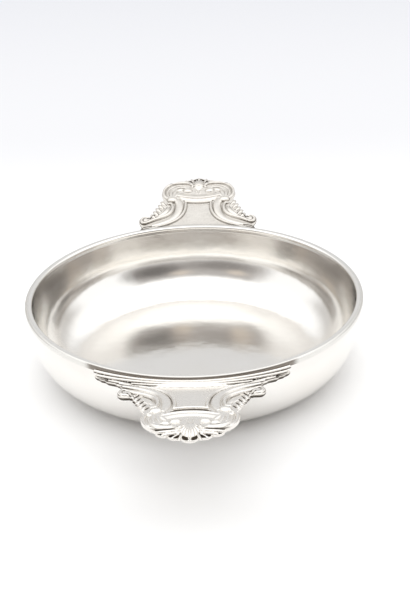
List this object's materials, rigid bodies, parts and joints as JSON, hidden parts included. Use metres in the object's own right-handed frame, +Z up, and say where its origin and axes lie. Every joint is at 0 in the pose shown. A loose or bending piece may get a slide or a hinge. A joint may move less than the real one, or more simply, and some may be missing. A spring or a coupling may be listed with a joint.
{
  "type": "ecuelle",
  "caption": "Shallow round silver bowl with a flat bottom, a rounded rim and flat cast ears with reeds, leaves, scrolls and a fluted shell on opposite sides.",
  "frame": {"origin": "centre of the flat bottom, on the table", "axes": "+Z up, the ears along Y, the front ear towards -Y, X across"},
  "size_m": [0.17, 0.284, 0.0457],
  "materials": {
    "raised_silver": "polished silver with fine wear",
    "cast_silver": "cast and chased silver, darker in the recesses"
  },
  "bodies": {
    "root": {"bowl_body": "raised_silver", "rim_wire": "raised_silver", "front_ear": "cast_silver", "rear_ear": "cast_silver"}
  },
  "joints": []
}
